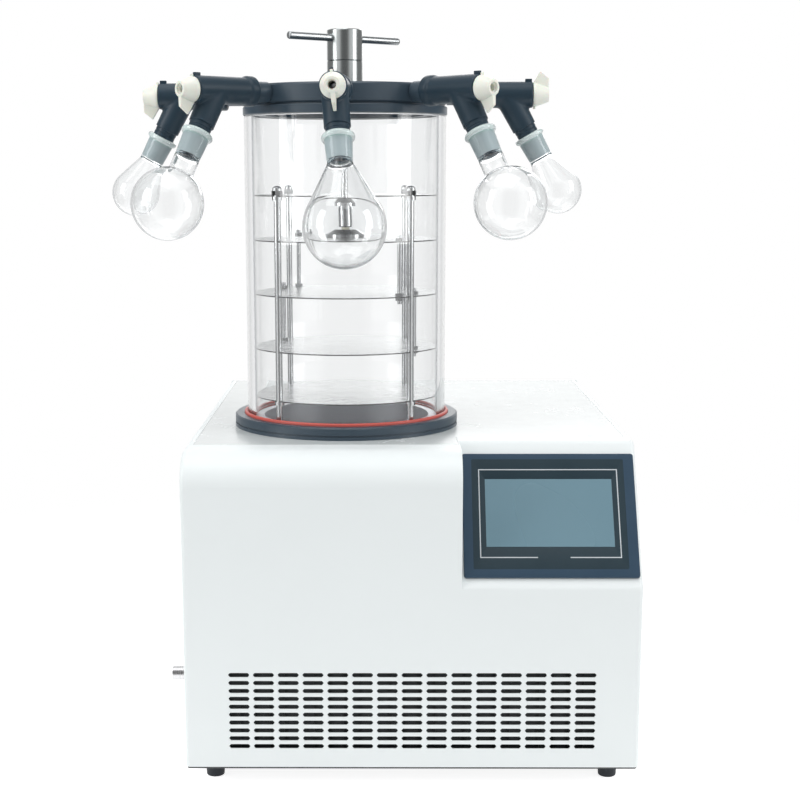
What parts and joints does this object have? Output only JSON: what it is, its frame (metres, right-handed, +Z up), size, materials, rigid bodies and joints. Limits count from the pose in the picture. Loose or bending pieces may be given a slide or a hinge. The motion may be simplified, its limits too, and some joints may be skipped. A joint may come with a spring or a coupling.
{
  "type": "freeze dryer",
  "caption": "Bench-top freeze dryer: white cabinet with slanted screen, clear shelf chamber on a cold trap, screw press, and a manifold lid with glass flasks on rubber valves.",
  "frame": {"origin": "middle of the whole outline, at floor level", "axes": "+Z up, -Y towards the front with the screen and the air inlet, +X to the right seen from the front"},
  "size_m": [0.5748, 0.6872, 0.8001],
  "materials": {
    "white_paint": "satin powder coat, cool near-white",
    "white_gloss": "glossy enamel, cool near-white",
    "black_pan": "satin black paint",
    "foot_rubber": "matt black rubber",
    "bezel_black": "satin navy-black moulding",
    "display_glass": "dark blue-grey screen, switched off",
    "circuit_board": "green board",
    "pot_steel": "brushed stainless steel",
    "jacket_metal": "plain aluminium",
    "foam": "rigid foam",
    "ring_black": "satin navy-black acetal",
    "gasket_red": "matt red silicone",
    "acrylic": "clear acrylic",
    "seal_clear": "grey silicone",
    "hub_steel": "turned stainless steel",
    "rack_steel": "polished stainless steel",
    "shelf_steel": "bright stainless sheet",
    "pad_ivory": "ivory nylon",
    "valve_rubber": "semi-gloss black rubber",
    "knob_ivory": "satin ivory moulding",
    "flask_glass": "clear borosilicate glass, ground joint",
    "condenser_fins": "dull aluminium fins",
    "fan_black": "black moulding",
    "compressor_black": "satin black enamel",
    "supply_metal": "plain sheet",
    "fitting_steel": "turned stainless steel",
    "inlet_black": "black moulding"
  },
  "bodies": {
    "cabinet": {"front_panel": "white_paint", "left_side_panel": "white_paint", "right_side_panel": "white_paint", "rear_panel": "white_paint", "top_plate": "white_gloss", "base_pan": "black_pan", "rubber_feet": "foot_rubber", "screen_bezel": "bezel_black", "touch_panel": "display_glass", "control_board": "circuit_board", "drain_port": "fitting_steel", "vacuum_port": "fitting_steel", "power_inlet": "inlet_black", "compressor": "compressor_black", "condenser": "condenser_fins", "fan_frame": "fan_black", "power_supply": "supply_metal", "cold_trap_pot": "pot_steel", "evaporator_jacket": "jacket_metal", "trap_insulation": "foam", "base_ring": "ring_black", "chamber_gasket": "gasket_red", "chamber_cylinder": "acrylic", "lid_seal": "seal_clear", "lid_flange": "ring_black", "manifold_ring": "ring_black", "port_stubs": "ring_black", "lid_bush": "hub_steel", "press_collar": "rack_steel", "rack_top_plate": "shelf_steel", "shelf_5": "shelf_steel", "guide_rods": "rack_steel", "rack_nuts": "rack_steel", "valve_body_1": "valve_rubber", "flask_1": "flask_glass", "valve_body_2": "valve_rubber", "flask_2": "flask_glass", "valve_body_3": "valve_rubber", "flask_3": "flask_glass", "valve_body_4": "valve_rubber", "flask_4": "flask_glass", "valve_body_5": "valve_rubber", "flask_5": "flask_glass"},
    "handle": {"handle_hub": "hub_steel", "t_bar": "hub_steel", "press_screw": "rack_steel"},
    "press": {"press_sleeve": "rack_steel", "press_pad": "pad_ivory", "press_foot": "rack_steel", "shelf_2": "shelf_steel"},
    "third_shelf": {"shelf_3": "shelf_steel", "upper_hangers": "rack_steel"},
    "fourth_shelf": {"shelf_4": "shelf_steel", "lower_hangers": "rack_steel"},
    "fan": {"fan_rotor": "fan_black"},
    "knob_1": {"valve_knob_1": "knob_ivory"},
    "knob_2": {"valve_knob_2": "knob_ivory"},
    "knob_3": {"valve_knob_3": "knob_ivory"},
    "knob_4": {"valve_knob_4": "knob_ivory"},
    "knob_5": {"valve_knob_5": "knob_ivory"}
  },
  "joints": [
    {"name": "handle_turn", "type": "hinge", "parent": "cabinet", "child": "handle", "pos_m": [-0.0249, -0.0552, 0.79], "axis": [0, 0, -1], "range_deg": [0, 1080]},
    {"name": "press_travel", "type": "slide", "parent": "cabinet", "child": "press", "axis": [0, 0, -1], "range_m": [0, 0.0151]},
    {"name": "third_shelf_travel", "type": "slide", "parent": "cabinet", "child": "third_shelf", "axis": [0, 0, -1], "range_m": [0, 0.0101]},
    {"name": "fourth_shelf_travel", "type": "slide", "parent": "cabinet", "child": "fourth_shelf", "axis": [0, 0, -1], "range_m": [0, 0.0051]},
    {"name": "fan_spin", "type": "hinge", "parent": "cabinet", "child": "fan", "pos_m": [0.0474, -0.1964, 0.082], "axis": [0, 1, 0], "continuous": true},
    {"name": "knob_turn_1", "type": "hinge", "parent": "cabinet", "child": "knob_1", "pos_m": [-0.22478, -0.04822, 0.7289], "axis": [-0.9994, 0.0349, 0], "range_deg": [0, 180]},
    {"name": "knob_turn_2", "type": "hinge", "parent": "cabinet", "child": "knob_2", "pos_m": [-0.17117, -0.1916, 0.7289], "axis": [-0.7314, -0.682, 0], "range_deg": [0, 180]},
    {"name": "knob_turn_3", "type": "hinge", "parent": "cabinet", "child": "knob_3", "pos_m": [-0.03188, -0.25508, 0.7289], "axis": [-0.0349, -0.9994, 0], "range_deg": [0, 180]},
    {"name": "knob_turn_4", "type": "hinge", "parent": "cabinet", "child": "knob_4", "pos_m": [0.1115, -0.20147, 0.7289], "axis": [0.682, -0.7314, 0], "range_deg": [0, 180]},
    {"name": "knob_turn_5", "type": "hinge", "parent": "cabinet", "child": "knob_5", "pos_m": [0.17498, -0.06218, 0.7289], "axis": [0.9994, -0.0349, 0], "range_deg": [-180, 0]}
  ],
  "couplings": [
    {"joint": "press_travel", "follows": "handle_turn", "m_per_rad": 0.00079577},
    {"joint": "third_shelf_travel", "follows": "handle_turn", "m_per_rad": 0.00053052},
    {"joint": "fourth_shelf_travel", "follows": "handle_turn", "m_per_rad": 0.00026526}
  ]
}
